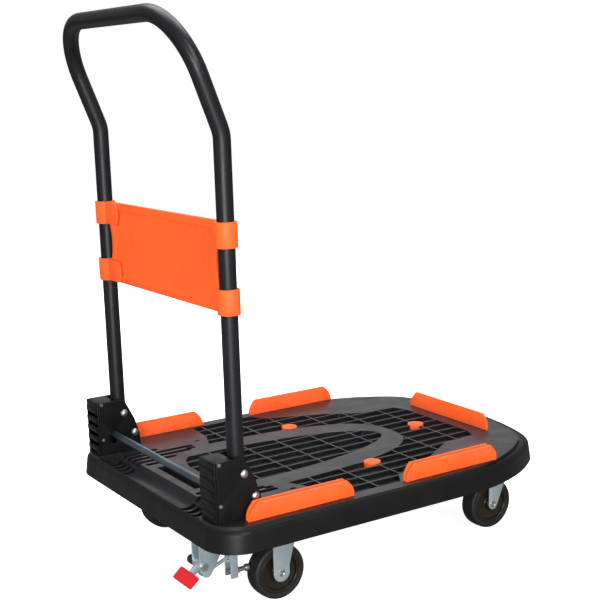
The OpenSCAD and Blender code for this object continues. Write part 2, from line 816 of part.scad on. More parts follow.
module rear_hub_left() { color(hub_black) place() on_axle(rear_axle_x, rear_wheel_y) hub_section(); }
module rear_hub_right() { color(hub_black) place() on_axle(rear_axle_x, -rear_wheel_y) hub_section(); }
module rear_tyre_left() { color(rubber_black) place() on_axle(rear_axle_x, rear_wheel_y) tyre_section(); }
module rear_tyre_right() { color(rubber_black) place() on_axle(rear_axle_x, -rear_wheel_y) tyre_section(); }
module front_hub_left() { color(hub_black) place() on_axle(front_axle_x, front_wheel_y) hub_section(); }
module front_hub_right() { color(hub_black) place() on_axle(front_axle_x, -front_wheel_y) hub_section(); }
module front_tyre_left() { color(rubber_black) place() on_axle(front_axle_x, front_wheel_y) tyre_section(); }
module front_tyre_right() { color(rubber_black) place() on_axle(front_axle_x, -front_wheel_y) tyre_section(); }

// Plate and upper race of the swivel, fixed under the deck
module swivel_plate() {
    translate([swivel_x, front_wheel_y, 0]) difference() {
        union() {
            translate([-swivel_plate_size[0] / 2, -swivel_plate_size[1] / 2, top_plate_z])
                cube([swivel_plate_size[0], swivel_plate_size[1], 3]);
            translate([0, 0, top_plate_z - 5]) cylinder(r = 29, h = 5.5);
        }
        translate([0, 0, top_plate_z - 6]) cylinder(r = king_r, h = 12);
        for (i = [-1, 1], j = [-1, 1])
            translate([i * swivel_bolts[0], j * swivel_bolts[1], top_plate_z - 1]) cylinder(r = 4, h = 5);
    }
}

module swivel_plate_left() { color(zinc) place() swivel_plate(); }
module swivel_plate_right() { color(zinc) place() on_side(-1) swivel_plate(); }

module king_pins() {
    color(bright_steel) place() both_sides() translate([swivel_x, front_wheel_y, 0]) {
        translate([0, 0, fork_top_z - caster_steel - face_gap]) cylinder(r = king_r, h = under_z - fork_top_z + caster_steel + face_gap);
        translate([0, 0, fork_top_z - caster_steel - face_gap - 4]) cylinder(r = 9, h = 4);
    }
}

// Side plate of the front fork in X-Z, about the axle
module front_leg() {
    up = fork_top_z - axle_z;
    circle(10.5);
    polygon([[-10.4, -1], [-8, up], [42, up], [10, -3]]);
}

module front_fork() {
    half = leg_gap / 2 + caster_steel;
    translate([front_axle_x, front_wheel_y, 0]) difference() {
        union() {
            translate([-8, -half, fork_top_z - caster_steel]) cube([swivel_lead + 8, 2 * half, caster_steel]);
            translate([swivel_lead, 0, fork_top_z - caster_steel]) cylinder(r = half + 2, h = caster_steel);
            for (s = [0, 1]) mirror([0, s, 0]) translate([0, 0, axle_z])
                slab_y(leg_gap / 2, half) front_leg();
        }
        rod_y(0, axle_z, -leg_gap, leg_gap, axle_d / 2);
        translate([swivel_lead, 0, fork_top_z - 2 * caster_steel]) cylinder(r = king_r + run_fit, h = 3 * caster_steel);
    }
}

module front_fork_left() { color(zinc) place() front_fork(); }
module front_fork_right() { color(zinc) place() on_side(-1) front_fork(); }

module swivel_race() {
    translate([swivel_x, front_wheel_y, fork_top_z]) difference() {
        cylinder(r = 26, h = top_plate_z - 5 - face_gap - fork_top_z);
        translate([0, 0, -1]) cylinder(r = king_r + 1, h = 20);
    }
}

module swivel_race_left() { color(zinc) place() swivel_race(); }
module swivel_race_right() { color(zinc) place() on_side(-1) swivel_race(); }

module front_axle(side) { color(bright_steel) place() on_side(side) translate([front_axle_x, front_wheel_y, 0]) axle_bolt(); }
module front_axle_left() { front_axle(1); }
module front_axle_right() { front_axle(-1); }

module front_sleeve(side) { color(bright_steel) place() on_side(side) translate([front_axle_x, front_wheel_y, 0]) axle_sleeve(); }
module front_sleeve_left() { front_sleeve(1); }
module front_sleeve_right() { front_sleeve(-1); }

module hex_bolt(r, length) {
    cylinder(r = r, h = length);
    translate([0, 0, -r * 1.3]) cylinder(r = r * 1.8, h = r * 1.3, $fn = 6);
}

module caster_bolts() {
    color(zinc) place() {
        both_sides() for (c = [[rear_axle_x, rear_wheel_y, rear_bolts], [swivel_x, front_wheel_y, swivel_bolts]],
            i = [-1, 1], j = [-1, 1])
            translate([c[0] + i * c[2][0], c[1] + j * c[2][1], top_plate_z]) hex_bolt(4, 16);
        for (p = brake_bolt_points()) translate([p[0], p[1], top_plate_z]) hex_bolt(3, 12);
    }
}

/* Foot brake */

function brake_bolt_points() = [
    [pedal_pivot_x + 26, brake_y - 24], [pedal_pivot_x + 26, brake_y + 24], [pedal_pivot_x, brake_y + 24],
    [arm_pivot[0], -rear_wheel_y - arm_half - 12], [arm_pivot[0], -rear_wheel_y + arm_half + 12]
];

module cheek() {
    bottom = [pedal_pivot_x + 6, pedal_pivot_z - 12];
    translate(bottom) circle(9);
    polygon([
        [bottom[0] - 9, bottom[1]], [pedal_pivot_x - cheek_back, pedal_pivot_z],
        [pedal_pivot_x - cheek_back, top_plate_z],
        [pedal_pivot_x + 34, top_plate_z], [pedal_pivot_x + 34, top_plate_z - 32], [bottom[0] + 7, bottom[1] - 6]
    ]);
}

module brake_bracket() {
    color(zinc) place() difference() {
        union() {
            slab_y(brake_y - cheek_half, brake_y - cheek_half + caster_steel) cheek();
            slab_y(brake_y + cheek_half - caster_steel, brake_y + cheek_half) cheek();
            translate([pedal_pivot_x - cheek_back, brake_y - 32, top_plate_z]) cube([34 + cheek_back, 64, 3]);
        }
        rod_y(pedal_pivot_x, pedal_pivot_z, brake_y - 30, brake_y + 30, 5);
        for (p = brake_bolt_points()) translate([p[0], p[1], top_plate_z - 1]) cylinder(r = 3, h = 5);
    }
}

// Small channel under the deck that carries the brake arm
module brake_hanger() {
    y0 = -rear_wheel_y - arm_half - caster_steel - face_gap;
    y1 = -rear_wheel_y + arm_half + caster_steel + face_gap;
    color(zinc) place() difference() {
        union() {
            for (y = [y0, y1 - caster_steel]) slab_y(y, y + caster_steel) {
                translate(arm_pivot) circle(7);
                translate([arm_pivot[0] - 7, arm_pivot[1]]) square([14, top_plate_z - arm_pivot[1]]);
            }
            translate([arm_pivot[0] - 9, y0 - 16, top_plate_z]) cube([18, y1 - y0 + 32, 3]);
        }
        rod_y(arm_pivot[0], arm_pivot[1], y0 - 1, y1 + 1, 3);
        for (p = brake_bolt_points()) translate([p[0], p[1], top_plate_z - 1]) cylinder(r = 3, h = 5);
    }
}

module brake_pins() {
    hanger = arm_half + caster_steel + face_gap;
    color(bright_steel) place() {
        rod_y(pedal_pivot_x, pedal_pivot_z, brake_y - cheek_half - 2, brake_y + cheek_half + 16, 5);
        rod_y(pedal_pivot_x, pedal_pivot_z, brake_y - cheek_half - 4, brake_y - cheek_half, 7);
        rod_y(arm_pivot[0], arm_pivot[1], -rear_wheel_y - hanger, -rear_wheel_y + hanger, 3);
        for (s = [-1, 1]) translate([arm_pivot[0], -rear_wheel_y + s * hanger, arm_pivot[1]])
            rotate([-s * 90, 0, 0]) cylinder(r1 = 5, r2 = 4, h = 2);
    }
}

module brake_pin_cap() {
    y0 = brake_y + cheek_half + 6;
    color(rubber_black) place() difference() {
        union() {
            rod_y(pedal_pivot_x, pedal_pivot_z, y0, y0 + 13, 8);
            translate([pedal_pivot_x, y0 + 13, pedal_pivot_z]) rotate([-90, 0, 0]) cylinder(r1 = 8, r2 = 6, h = 2);
        }
        rod_y(pedal_pivot_x, pedal_pivot_z, y0 - 1, brake_y + cheek_half + 16, 5);
    }
}

// Pedal lever: a hub on the pin, an arm out to the pad and an ear for the link
module brake_lever() {
    half = cheek_half - caster_steel - face_gap;
    color(zinc) place() difference() {
        union() {
            rod_y(pedal_pivot_x, pedal_pivot_z, brake_y - half, brake_y + half, 9);
            slab_y(brake_y - 3, brake_y + 3) {
                polygon([[pedal_pivot_x - 4, pedal_pivot_z + 8], [pedal_pivot_x + 2, pedal_pivot_z - 8],
                    on_pad(2, -pad_t / 2 - 4), on_pad(pad_w / 2 - 2, pad_t / 2 - 1.5)]);
                polygon([[pedal_pivot_x - 9, pedal_pivot_z], [pedal_pivot_x + 9, pedal_pivot_z],
                    [link_from[0] + 6, link_from[1]], [link_from[0] - 6, link_from[1]]]);
                translate(link_from) circle(6);
            }
        }
        rod_y(pedal_pivot_x, pedal_pivot_z, brake_y - 20, brake_y + 20, 5 + run_fit);
        rod_y(link_from[0], link_from[1], brake_y - 20, brake_y + 20, link_r + run_fit);
        pad_block();
    }
}

// Point in XZ at a distance along the pad's slope and above its middle plane
function on_pad(along, up) = [pad_x + along * cos(pad_slope) - up * sin(pad_slope),
    pad_z + along * sin(pad_slope) + up * cos(pad_slope)];

module pad_block() {
    translate([pad_x, brake_y, pad_z]) rotate([0, -pad_slope, 0]) linear_extrude(pad_t, center = true)
        rounded_rect(pad_w, pad_l, 4);
}

module pedal_pad() { color(red) place() pad_block(); }

// Link rod: a straight run with a quarter bend to a pin at each end, one pin each way
module brake_link() {
    span = [link_to[0] - link_from[0], link_to[1] - link_from[1]];
    length = norm(span);
    bend = 5;
    near = link_y + bend;
    far = link_y - bend;
    near_end = brake_y + 6;
    far_end = -rear_wheel_y + arm_half - 8;
    color(zinc) place()
        translate([link_from[0], 0, link_from[1]]) rotate([0, -atan2(span[1], span[0]), 0]) {
            translate([0, near_end, 0]) rotate([90, 0, 0]) cylinder(r = link_r, h = near_end - near);
            translate([bend, near, 0]) rotate(180) rotate_extrude(angle = 90) translate([bend, 0]) circle(link_r);
            translate([bend, link_y, 0]) rotate([0, 90, 0]) cylinder(r = link_r, h = length - 2 * bend);
            translate([length - bend, far, 0]) rotate_extrude(angle = 90) translate([bend, 0]) circle(link_r);
            translate([length, far, 0]) rotate([90, 0, 0]) cylinder(r = link_r, h = far - far_end);
        }
}

// Channel that swings the brake bolt against the tread
module brake_arm() {
    y0 = -rear_wheel_y - arm_half;
    y1 = -rear_wheel_y + arm_half;
    color(zinc) place() difference() {
        union() {
            for (y = [y0, y1 - caster_steel]) slab_y(y, y + caster_steel) {
                translate(arm_pivot) circle(7);
                translate([arm_pivot[0] - 7, bolt_z - 9]) square([14, arm_pivot[1] - bolt_z + 9]);
            }
            translate([arm_web_x, y0, bolt_z - 9]) cube([caster_steel, 2 * arm_half, arm_pivot[1] - bolt_z]);
        }
        rod_y(arm_pivot[0], arm_pivot[1], y0 - 1, y1 + 1, 3 + run_fit);
        rod_y(link_to[0], link_to[1], y1 - 2 * caster_steel, y1 + 1, link_r + 1);
        rod_x(-rear_wheel_y, bolt_z, arm_web_x - 1, arm_web_x + caster_steel + 1, 4);
    }
}

module brake_bolt() {
    color(bright_steel) place() {
        rod_x(-rear_wheel_y, bolt_z, arm_web_x - 14, bolt_tip_x, 4);
        for (x = [arm_web_x - 6, arm_web_x + caster_steel])
            rod_x(-rear_wheel_y, bolt_z, x, x + 6, 6.5, $fn = 6);
        rod_x(-rear_wheel_y, bolt_z, bolt_tip_x - 5, bolt_tip_x, bolt_foot_r);
    }
}

deck();
bumper();
deck_plugs();
side_guide_rear_left();
side_guide_rear_right();
side_guide_front_left();
side_guide_front_right();
nose_guide();
handle_bracket_left();
handle_bracket_right();
bracket_cover_left();
bracket_cover_right();
bracket_cover_screws();
bracket_bolts();
pivot_rivets();
stop_rivets();
pivot_spacers();
release_bar();
release_springs();
handle_frame();
handle_panel();
clamp_upper_left();
clamp_upper_right();
clamp_lower_left();
clamp_lower_right();
clamp_screws();
rear_fork_left();
rear_fork_right();
rear_axles();
rear_axle_sleeves();
rear_hub_left();
rear_hub_right();
rear_tyre_left();
rear_tyre_right();
swivel_plate_left();
swivel_plate_right();
king_pins();
front_fork_left();
front_fork_right();
swivel_race_left();
swivel_race_right();
front_axle_left();
front_axle_right();
front_sleeve_left();
front_sleeve_right();
front_hub_left();
front_hub_right();
front_tyre_left();
front_tyre_right();
caster_bolts();
brake_bracket();
brake_hanger();
brake_pins();
brake_pin_cap();
brake_lever();
pedal_pad();
brake_link();
brake_arm();
brake_bolt();
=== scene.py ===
# Folding platform cart: black moulded deck, tube handle, orange trim, four casters, foot brake.
# Metres, +X to the rounded front, +Y to the left, +Z up, the floor at z = 0.
import math
import bmesh
import bpy
from mathutils import Matrix, Vector


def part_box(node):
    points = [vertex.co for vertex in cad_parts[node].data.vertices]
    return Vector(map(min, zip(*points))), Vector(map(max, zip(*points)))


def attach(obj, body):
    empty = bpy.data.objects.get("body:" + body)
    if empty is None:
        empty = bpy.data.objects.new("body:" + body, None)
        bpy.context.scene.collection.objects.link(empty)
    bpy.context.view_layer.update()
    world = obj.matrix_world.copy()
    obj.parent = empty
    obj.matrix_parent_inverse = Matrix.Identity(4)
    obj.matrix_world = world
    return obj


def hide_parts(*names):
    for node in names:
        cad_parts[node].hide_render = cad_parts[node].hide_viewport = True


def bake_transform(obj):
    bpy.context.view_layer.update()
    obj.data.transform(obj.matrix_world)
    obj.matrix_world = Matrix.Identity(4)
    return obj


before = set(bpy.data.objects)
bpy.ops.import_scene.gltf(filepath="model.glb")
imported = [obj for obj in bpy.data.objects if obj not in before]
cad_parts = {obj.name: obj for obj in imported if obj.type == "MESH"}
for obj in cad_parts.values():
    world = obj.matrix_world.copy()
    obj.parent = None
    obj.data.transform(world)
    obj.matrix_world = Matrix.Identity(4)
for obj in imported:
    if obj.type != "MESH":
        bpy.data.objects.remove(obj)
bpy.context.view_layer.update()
MM = 0.001

# Camera, floor and light
# The camera looks a little down along the deck, from behind its right rear corner. Seven
# softboxes light the cart on a plain pale floor: four shine on it and three only fill its shadows.
camera_data = bpy.data.cameras.new("camera")
camera_data.sensor_width = 36
camera_data.lens = 72.9
camera_data.shift_x = -0.0042
camera_data.shift_y = 0.0598
camera = bpy.data.objects.new("camera", camera_data)
camera.location = (-1.2527, -1.9078, 0.8897)
camera.rotation_euler = [math.radians(a) for a in (77.78, 1.68, -32.94)]
bpy.context.scene.collection.objects.link(camera)
bpy.context.scene.camera = camera
bpy.context.scene.view_settings.view_transform = "Standard"


def new_material(name):
    material = bpy.data.materials.new(name)
    material.use_nodes = True
    return material, material.node_tree.nodes, material.node_tree.links


def piece_from(name, mesh_builder, material):
    mesh = bpy.data.meshes.new(name)
    mesh_builder.to_mesh(mesh)
    mesh_builder.free()
    piece = bpy.data.objects.new(name, mesh)
    bpy.context.scene.collection.objects.link(piece)
    mesh.materials.append(material)
    return piece


floor_size = 40
floor_builder = bmesh.new()
bmesh.ops.create_grid(floor_builder, x_segments=1, y_segments=1, size=floor_size)
floor_material, nodes, links = new_material("pale_floor")
paper = nodes["Principled BSDF"]
paper.inputs["Roughness"].default_value = 0.9
paper.inputs["Emission Color"].default_value = (1, 1, 1, 1)

# Floor and room are pale to the camera and dimmer to the cart, so they don't grey its black parts
looked_at = nodes.new("ShaderNodeLightPath")
for socket, to_the_cart, to_the_camera in (("Base Color", 0.16, 0.9), ("Emission Strength", 0.0, 0.80)):
    shade = nodes.new("ShaderNodeMapRange")
    shade.inputs["To Min"].default_value = to_the_cart
    shade.inputs["To Max"].default_value = to_the_camera
    links.new(looked_at.outputs["Is Camera Ray"], shade.inputs["Value"])
    links.new(shade.outputs["Result"], paper.inputs[socket])
floor = piece_from("floor", floor_builder, floor_material)

world = bpy.data.worlds.new("studio")
world.use_nodes = True
room = world.node_tree.nodes["Background"]
room.inputs["Color"].default_value = (1, 1, 1, 1)
seen_or_lit = world.node_tree.nodes.new("ShaderNodeLightPath")
brightness = world.node_tree.nodes.new("ShaderNodeMapRange")
brightness.inputs["To Min"].default_value = 0.24
brightness.inputs["To Max"].default_value = 1.0
world.node_tree.links.new(seen_or_lit.outputs["Is Camera Ray"], brightness.inputs["Value"])
world.node_tree.links.new(brightness.outputs["Result"], room.inputs["Strength"])
bpy.context.scene.world = world


def softbox(name, place, target, size, power, mirrored=True):
    """A box that isn't mirrored fills the shadows and leaves no shine on the black parts."""
    light = bpy.data.lights.new(name, "AREA")
    light.shape = "RECTANGLE"
    light.size, light.size_y = size
    light.energy = power
    lamp = bpy.data.objects.new(name, light)
    lamp.location = place
    lamp.rotation_euler = (Vector(target) - Vector(place)).to_track_quat("-Z", "Y").to_euler()
    lamp.visible_glossy = mirrored
    lamp.visible_camera = False
    bpy.context.scene.collection.objects.link(lamp)


softbox("overhead", (0.2, 0.5, 2.7), (0, 0, 0.2), (2.4, 1.8), 75)
softbox("behind", (1.6, 2.6, 1.5), (0, 0, 0.3), (2.2, 1.0), 7)
softbox("right_side", (-0.4, -3.0, 2.2), (0, 0, 0.4), (0.7, 1.6), 40)
softbox("low_rear", (-1.9, -2.7, 0.62), (-0.3, 0, 0.5), (1.3, 1.2), 64)
softbox("rear_fill", (-3.2, -0.4, 1.2), (0, 0, 0.5), (2.0, 2.0), 66, mirrored=False)
softbox("right_fill", (0.4, -3.2, 0.9), (0, 0, 0.3), (2.4, 1.6), 52, mirrored=False)
softbox("left_fill", (0.6, 3.2, 1.0), (0, 0, 0.3), (2.4, 1.6), 40, mirrored=False)


# Handle frame
# One length of round steel tube, bent to a hoop, with a fine satin black powder coat.
# It pivots on a rivet through each foot.
def finish(name, colour, roughness, grain, depth, mottle=0.12, metallic=0.0, edge=None,
           stretch=(1, 1, 1), shine=0.5):
    """colour varies by mottle over the piece; grain is the pattern's scale, depth its height in mm;
    roughness is its lowest and highest value; edge is the colour that worn edges show;
    stretch scales the pattern along each axis; shine is the specular level."""
    edge_radius = 0.7 * MM
    cloud_scale, gloss_scale, wear_scale = 11, 23, 60
    material, nodes, links = new_material(name)
    shader = nodes["Principled BSDF"]
    shader.inputs["Metallic"].default_value = metallic
    shader.inputs["Specular IOR Level"].default_value = shine
    coords = nodes.new("ShaderNodeTexCoord")
    spread = nodes.new("ShaderNodeMapping")
    spread.inputs["Scale"].default_value = stretch
    links.new(coords.outputs["Object"], spread.inputs["Vector"])

    def noise(scale, detail, vector):
        pattern = nodes.new("ShaderNodeTexNoise")
        pattern.inputs["Scale"].default_value = scale
        pattern.inputs["Detail"].default_value = detail
        links.new(vector, pattern.inputs["Vector"])
        return pattern.outputs["Fac"]

    def ranged(value, low, high, start=0.35, end=0.65):
        step = nodes.new("ShaderNodeMapRange")
        for socket, number in zip(("From Min", "From Max", "To Min", "To Max"), (start, end, low, high)):
            step.inputs[socket].default_value = number
        links.new(value, step.inputs["Value"])
        return step.outputs["Result"]

    def mixed(factor, first, second):
        blend = nodes.new("ShaderNodeMix")
        blend.data_type = "RGBA"
        links.new(factor, blend.inputs[0])
        for socket, value in ((blend.inputs[6], first), (blend.inputs[7], second)):
            if isinstance(value, tuple):
                socket.default_value = (*value, 1)
            else:
                links.new(value, socket)
        return blend.outputs[2]

    cloud = noise(cloud_scale, 5, coords.outputs["Object"])
    fine = noise(grain, 3, spread.outputs["Vector"])
    darker = tuple(c * (1 - mottle) for c in colour)
    lighter = tuple(c * (1 + mottle) for c in colour)
    tint = mixed(ranged(cloud, 0, 1), darker, lighter)

    soft_edge = nodes.new("ShaderNodeBevel")
    soft_edge.samples = 6
    soft_edge.inputs["Radius"].default_value = edge_radius
    if edge:
        geometry = nodes.new("ShaderNodeNewGeometry")
        turn = nodes.new("ShaderNodeVectorMath")
        turn.operation = "DOT_PRODUCT"
        links.new(soft_edge.outputs["Normal"], turn.inputs[0])
        links.new(geometry.outputs["Normal"], turn.inputs[1])
        at_edge = ranged(turn.outputs["Value"], 1, 0, 0.86, 0.99)
        patchy = nodes.new("ShaderNodeMath")
        patchy.operation = "MULTIPLY"
        links.new(at_edge, patchy.inputs[0])
        wear = noise(wear_scale, 4, coords.outputs["Object"])
        links.new(ranged(wear, 0.1, 0.8), patchy.inputs[1])
        tint = mixed(patchy.outputs["Value"], tint, edge)
    links.new(tint, shader.inputs["Base Color"])
    gloss = noise(gloss_scale, 6, spread.outputs["Vector"])
    links.new(ranged(gloss, *roughness), shader.inputs["Roughness"])
    relief = nodes.new("ShaderNodeBump")
    relief.inputs["Distance"].default_value = depth * MM
    relief.inputs["Strength"].default_value = 1.0
    links.new(fine, relief.inputs["Height"])
    links.new(soft_edge.outputs["Normal"], relief.inputs["Normal"])
    links.new(relief.outputs["Normal"], shader.inputs["Normal"])
    return material


def dress(material, *node_names):
    """Gives the nodes' own meshes the material."""
    for node_name in node_names:
        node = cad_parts[node_name]
        node.data.materials.clear()
        node.data.materials.append(material)


handle_black = finish("handle_powder_coat", (0.007, 0.007, 0.009), (0.36, 0.44), 900, 0.008, shine=0.36)
dress(handle_black, "handle_frame")

# Handle panel
# A moulded orange panel between the tubes, its sides curved in between the clamps,
# with a shallow sunk field on each face.
orange = finish("orange_plastic", (0.87, 0.108, 0.018), (0.42, 0.54), 1400, 0.02, mottle=0.05,
                edge=(0.95, 0.19, 0.06), shine=0.3)


def arc(centre, radius, start, end, steps):
    """Points round a centre, from the start angle to the end angle, in degrees."""
    angles = [math.radians(start + (end - start) * i / steps) for i in range(steps + 1)]
    return [(centre[0] + radius * math.cos(a), centre[1] + radius * math.sin(a)) for a in angles]


def face_of(builder, points, to_space):
    """One face through flat points, which to_space puts in place."""
    return builder.faces.new([builder.verts.new(to_space(*p)) for p in points])


def thicken(builder, face, shift):
    """Extrudes one face to a closed block and returns the new far face."""
    grown = bmesh.ops.extrude_face_region(builder, geom=[face], use_keep_orig=True)
    moved = [g for g in grown["geom"] if isinstance(g, bmesh.types.BMVert)]
    bmesh.ops.translate(builder, verts=moved, vec=shift)
    bmesh.ops.recalc_face_normals(builder, faces=builder.faces)
    return next(g for g in grown["geom"] if isinstance(g, bmesh.types.BMFace))


def round_edges(builder, edges, width, segments=3, limited=True):
    bmesh.ops.bevel(builder, geom=edges, offset=width, offset_type="OFFSET", segments=segments, profile=0.5,
                    affect="EDGES", clamp_overlap=limited, material=-1)


def smooth(piece, angle=35):
    piece.data.shade_smooth()
    piece.data.set_sharp_from_angle(angle=math.radians(angle))
    return piece


panel_low, panel_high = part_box("handle_panel")
panel_z = (panel_low.z + panel_high.z) / 2
panel_half_h = (panel_high.z - panel_low.z) / 2
panel_half_w = panel_high.y
panel_sag = 6 * MM
panel_border = 13 * MM
field_slope, field_depth = 1.2 * MM, 1.5 * MM
clamp_land = 43 * MM
chord = panel_half_h - clamp_land
side_r = (chord ** 2 + panel_sag ** 2) / (2 * panel_sag)
swing = math.degrees(math.asin(chord / side_r))
outline = []
for side, facing in ((1, 180), (-1, 0)):
    centre = (side * (panel_half_w - panel_sag + side_r), 0)
    curve = arc(centre, side_r, facing - swing, facing + swing, 10)
    outline.append((side * panel_half_w, -side * panel_half_h))
    outline += sorted(curve, key=lambda p: side * p[1])
    outline.append((side * panel_half_w, side * panel_half_h))
builder = bmesh.new()
back = face_of(builder, outline, lambda y, z: (panel_low.x, y, z + panel_z))
front = thicken(builder, back, (panel_high.x - panel_low.x, 0, 0))
for face in (back, front):
    bmesh.ops.inset_region(builder, faces=[face], thickness=panel_border, use_even_offset=True)
    bmesh.ops.inset_region(builder, faces=[face], thickness=field_slope, depth=-field_depth,
                           use_even_offset=True)
rim = [e for e in builder.edges if e.is_manifold and e.calc_face_angle(0) > math.radians(50)]
round_edges(builder, rim, 1.4 * MM)
panel = smooth(piece_from("panel", builder, orange))
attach(panel, "handle")
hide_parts("handle_panel")

# Panel clamps
# Four moulded rings round the tubes, each with a tab screwed to a face of the panel:
# the left pair on the rear face, the right pair on the front face.
tube_r = 14.3 * MM
tube_x, tube_y = -320 * MM, 232 * MM
ring_r = tube_r + 4.5 * MM
panel_face, tab_t = 4 * MM, 4 * MM
tab_root, tab_end, tab_step = 10 * MM, 56 * MM, 0.6 * MM
tab_curve_at, tab_curve_r = 31 * MM, 37 * MM
for level in ("upper", "lower"):
    for side, hand in ((1, "left"), (-1, "right")):
        low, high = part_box(f"clamp_{level}_{hand}")
        tube_at = Vector((tube_x, side * tube_y, (low.z + high.z) / 2))
        half_h = (high.z - low.z) / 2
        builder = bmesh.new()
        section = [(tube_r, -half_h), (ring_r, -half_h), (ring_r, half_h), (tube_r, half_h)]
        loop = [builder.verts.new((r, 0, z)) for r, z in section]
        ring_edges = [builder.edges.new((loop[i], loop[(i + 1) % 4])) for i in range(4)]
        bmesh.ops.spin(builder, geom=loop + ring_edges, cent=(0, 0, 0), axis=(0, 0, 1),
                       angle=math.tau, steps=48, use_merge=True)
        tab_h = half_h - tab_step
        tab = [(-tab_root, -tab_h), (-tab_end, -tab_h)]
        tab += arc((-tab_curve_at, 0), tab_curve_r, 212, 148, 10)
        tab += [(-tab_end, tab_h), (-tab_root, tab_h)]
        plate = face_of(builder, tab, lambda y, z: (-side * panel_face, side * y, z))
        thicken(builder, plate, (-side * tab_t, 0, 0))
        sharp = [e for e in builder.edges if e.is_manifold and e.calc_face_angle(0) > math.radians(40)]
        round_edges(builder, sharp, 0.8 * MM, 2)
        bmesh.ops.recalc_face_normals(builder, faces=builder.faces)
        bmesh.ops.translate(builder, verts=builder.verts, vec=tube_at)
        clamp = smooth(piece_from(f"clamp_ring_{level}_{hand}", builder, orange))
        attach(clamp, "handle")
        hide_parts(f"clamp_{level}_{hand}")

# Screws, rivets and bright pins
# Bright nickel-plated steel: small screws in the covers, domed rivets through the brackets, sleeves
# and king pins in the casters, the brake's pins and its bolt. The clamps' screws match the clamps.
bright = finish("bright_plating", (0.60, 0.60, 0.61), (0.30, 0.42), 500, 0.01, mottle=0.06, metallic=1.0)
dress(orange, "clamp_screws")
dress(bright, "bracket_cover_screws", "pivot_rivets", "stop_rivets", "rear_axle_sleeves", "king_pins",
      "brake_pins", "front_sleeve_left", "front_sleeve_right", "brake_bolt")

# Handle brackets and their back covers
# Folded steel plates under a black powder coat, bolted to the deck, with a stepped
# plastic cover screwed over the back of each.
bracket_black = finish("bracket_powder_coat", (0.005, 0.005, 0.0055), (0.34, 0.48), 800, 0.05,
                       edge=(0.02, 0.02, 0.02), shine=0.24)
cover_black = finish("cover_plastic", (0.004, 0.004, 0.0045), (0.30, 0.42), 1500, 0.03,
                     edge=(0.012, 0.012, 0.012), shine=0.2)


def softened(name, node_name, material, width, body):
    """A copy of a node with its sharp edges rounded, worn in its place."""
    builder = bmesh.new()
    builder.from_mesh(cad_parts[node_name].data)
    bmesh.ops.remove_doubles(builder, verts=builder.verts, dist=0.01 * MM)
    bmesh.ops.dissolve_limit(builder, angle_limit=math.radians(1), verts=builder.verts, edges=builder.edges)
    sharp = [e for e in builder.edges if e.is_manifold and e.calc_face_angle(0) > math.radians(50)]
    round_edges(builder, sharp, width * MM, limited=False)
    bmesh.ops.remove_doubles(builder, verts=builder.verts, dist=0.01 * MM)
    piece = smooth(piece_from(name, builder, material), 40)
    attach(piece, body)
    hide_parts(node_name)


for hand in ("left", "right"):
    softened(f"bracket_{hand}", f"handle_bracket_{hand}", bracket_black, 0.8, "root")
    softened(f"cover_{hand}", f"bracket_cover_{hand}", cover_black, 1.6, "root")

# Zinc-plated steel
# The forks, swivel plates, spacers, bolts and the brake's pressed parts are bright bluish
# zinc with faint rolling marks. The release bar's zinc is coloured darker.
zinc = finish("zinc_plating", (0.56, 0.66, 0.70), (0.30, 0.44), 260, 0.02, mottle=0.14, metallic=0.75,
              edge=(0.75, 0.8, 0.82), stretch=(1, 1, 6))
bar_zinc = finish("darker_bar_zinc", (0.20, 0.25, 0.30), (0.30, 0.44), 300, 0.02, mottle=0.3, metallic=1.0,
                  stretch=(1, 0.2, 1))
dress(bar_zinc, "release_bar")
for node_name, body in (("brake_bracket", "root"), ("brake_hanger", "root"), ("brake_lever", "brake_pedal"),
                        ("brake_arm", "brake_arm"), ("swivel_plate_left", "root"),
                        ("swivel_plate_right", "root")):
    softened(f"{node_name}_plated", node_name, zinc, 0.7, body)
for hand in ("left", "right"):
    softened(f"fixed_fork_{hand}", f"rear_fork_{hand}", zinc, 0.8, "root")
    softened(f"swivel_fork_{hand}", f"front_fork_{hand}", zinc, 0.8, f"swivel_{hand}")
dress(zinc, "pivot_spacers", "bracket_bolts", "swivel_race_left", "swivel_race_right", "caster_bolts",
      "brake_link")

# Release springs
# A small wire coil at each end of the release bar draws it up. Each hangs in its bracket,
# drawn at its resting length.
spring_low, spring_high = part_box("release_springs")
coil_r, wire_r = 2.6 * MM, 0.45 * MM
coil_x = (spring_low.x + spring_high.x) / 2
end_gap = 0.5 * MM
turns, per_turn = 12, 14
coil_steps = turns * per_turn
for side, hand in ((1, "left"), (-1, "right")):
    coil_y = side * (spring_high.y - coil_r - wire_r)
    wire = bpy.data.curves.new("coil", "CURVE")
    wire.dimensions = "3D"
    wire.bevel_depth = wire_r
    wire.bevel_resolution = 2
    spline = wire.splines.new("POLY")
    spline.points.add(coil_steps)
    for i, point in enumerate(spline.points):
        angle = math.tau * i / per_turn
        rise = (spring_high.z - spring_low.z - 2 * end_gap) * i / coil_steps
        point.co = (coil_x + coil_r * math.cos(angle), coil_y + coil_r * math.sin(angle),
                    spring_low.z + end_gap + rise, 1)
    wire.use_fill_caps = True
    shape = bpy.data.objects.new("coil", wire)
    bpy.context.scene.collection.objects.link(shape)
    bpy.context.view_layer.update()
    mesh = bpy.data.meshes.new_from_object(shape)
    bpy.data.objects.remove(shape)
    spring = bpy.data.objects.new(f"spring_{hand}", mesh)
    bpy.context.scene.collection.objects.link(spring)
    mesh.materials.clear()
    mesh.materials.append(bright)
    mesh.shade_smooth()
    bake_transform(spring)
    if side > 0:
        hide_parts("release_springs")

